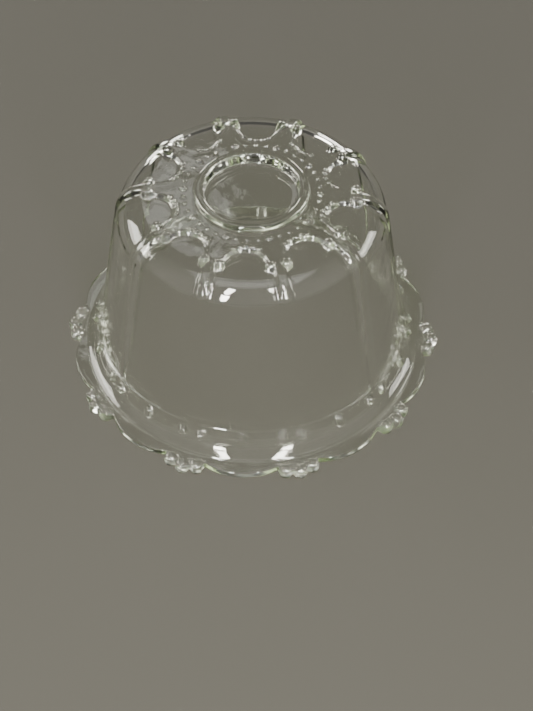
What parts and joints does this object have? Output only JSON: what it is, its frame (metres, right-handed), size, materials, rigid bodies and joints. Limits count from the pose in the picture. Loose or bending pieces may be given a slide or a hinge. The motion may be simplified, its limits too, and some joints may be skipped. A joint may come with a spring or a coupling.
{
  "type": "candy dish",
  "caption": "Pressed clear glass candy dish: a deep round bowl with ribs, a star-shaped base plate with a foot ring, moulded pearls, and a scalloped flange set with pearl clusters.",
  "frame": {"origin": "centre of the rim plane, which is the lowest plane because the dish is drawn mouth down", "axes": "+Z runs from the mouth to the foot ring and is the axis of revolution, +X runs through a rib and the middle pearl of a rim cluster, +Y completes the right-handed set; turn the dish over for use"},
  "size_m": [0.1568, 0.151, 0.0852],
  "materials": {
    "clear_glass": "clear fire-polished pressed glass with a faint grey-green cast in its thick edges"
  },
  "bodies": {
    "root": {"base_disc": "clear_glass", "foot_ring": "clear_glass", "base_plate": "clear_glass", "base_pearls": "clear_glass", "seed_pearls": "clear_glass", "arch_beads": "clear_glass", "shoulder_pearls": "clear_glass", "shoulder": "clear_glass", "bowl_wall": "clear_glass", "wall_ribs": "clear_glass", "collar_belt": "clear_glass", "band_pearls": "clear_glass", "panel_drops": "clear_glass", "rim_collar": "clear_glass", "rim_flange": "clear_glass", "rim_pearls": "clear_glass"}
  },
  "joints": []
}
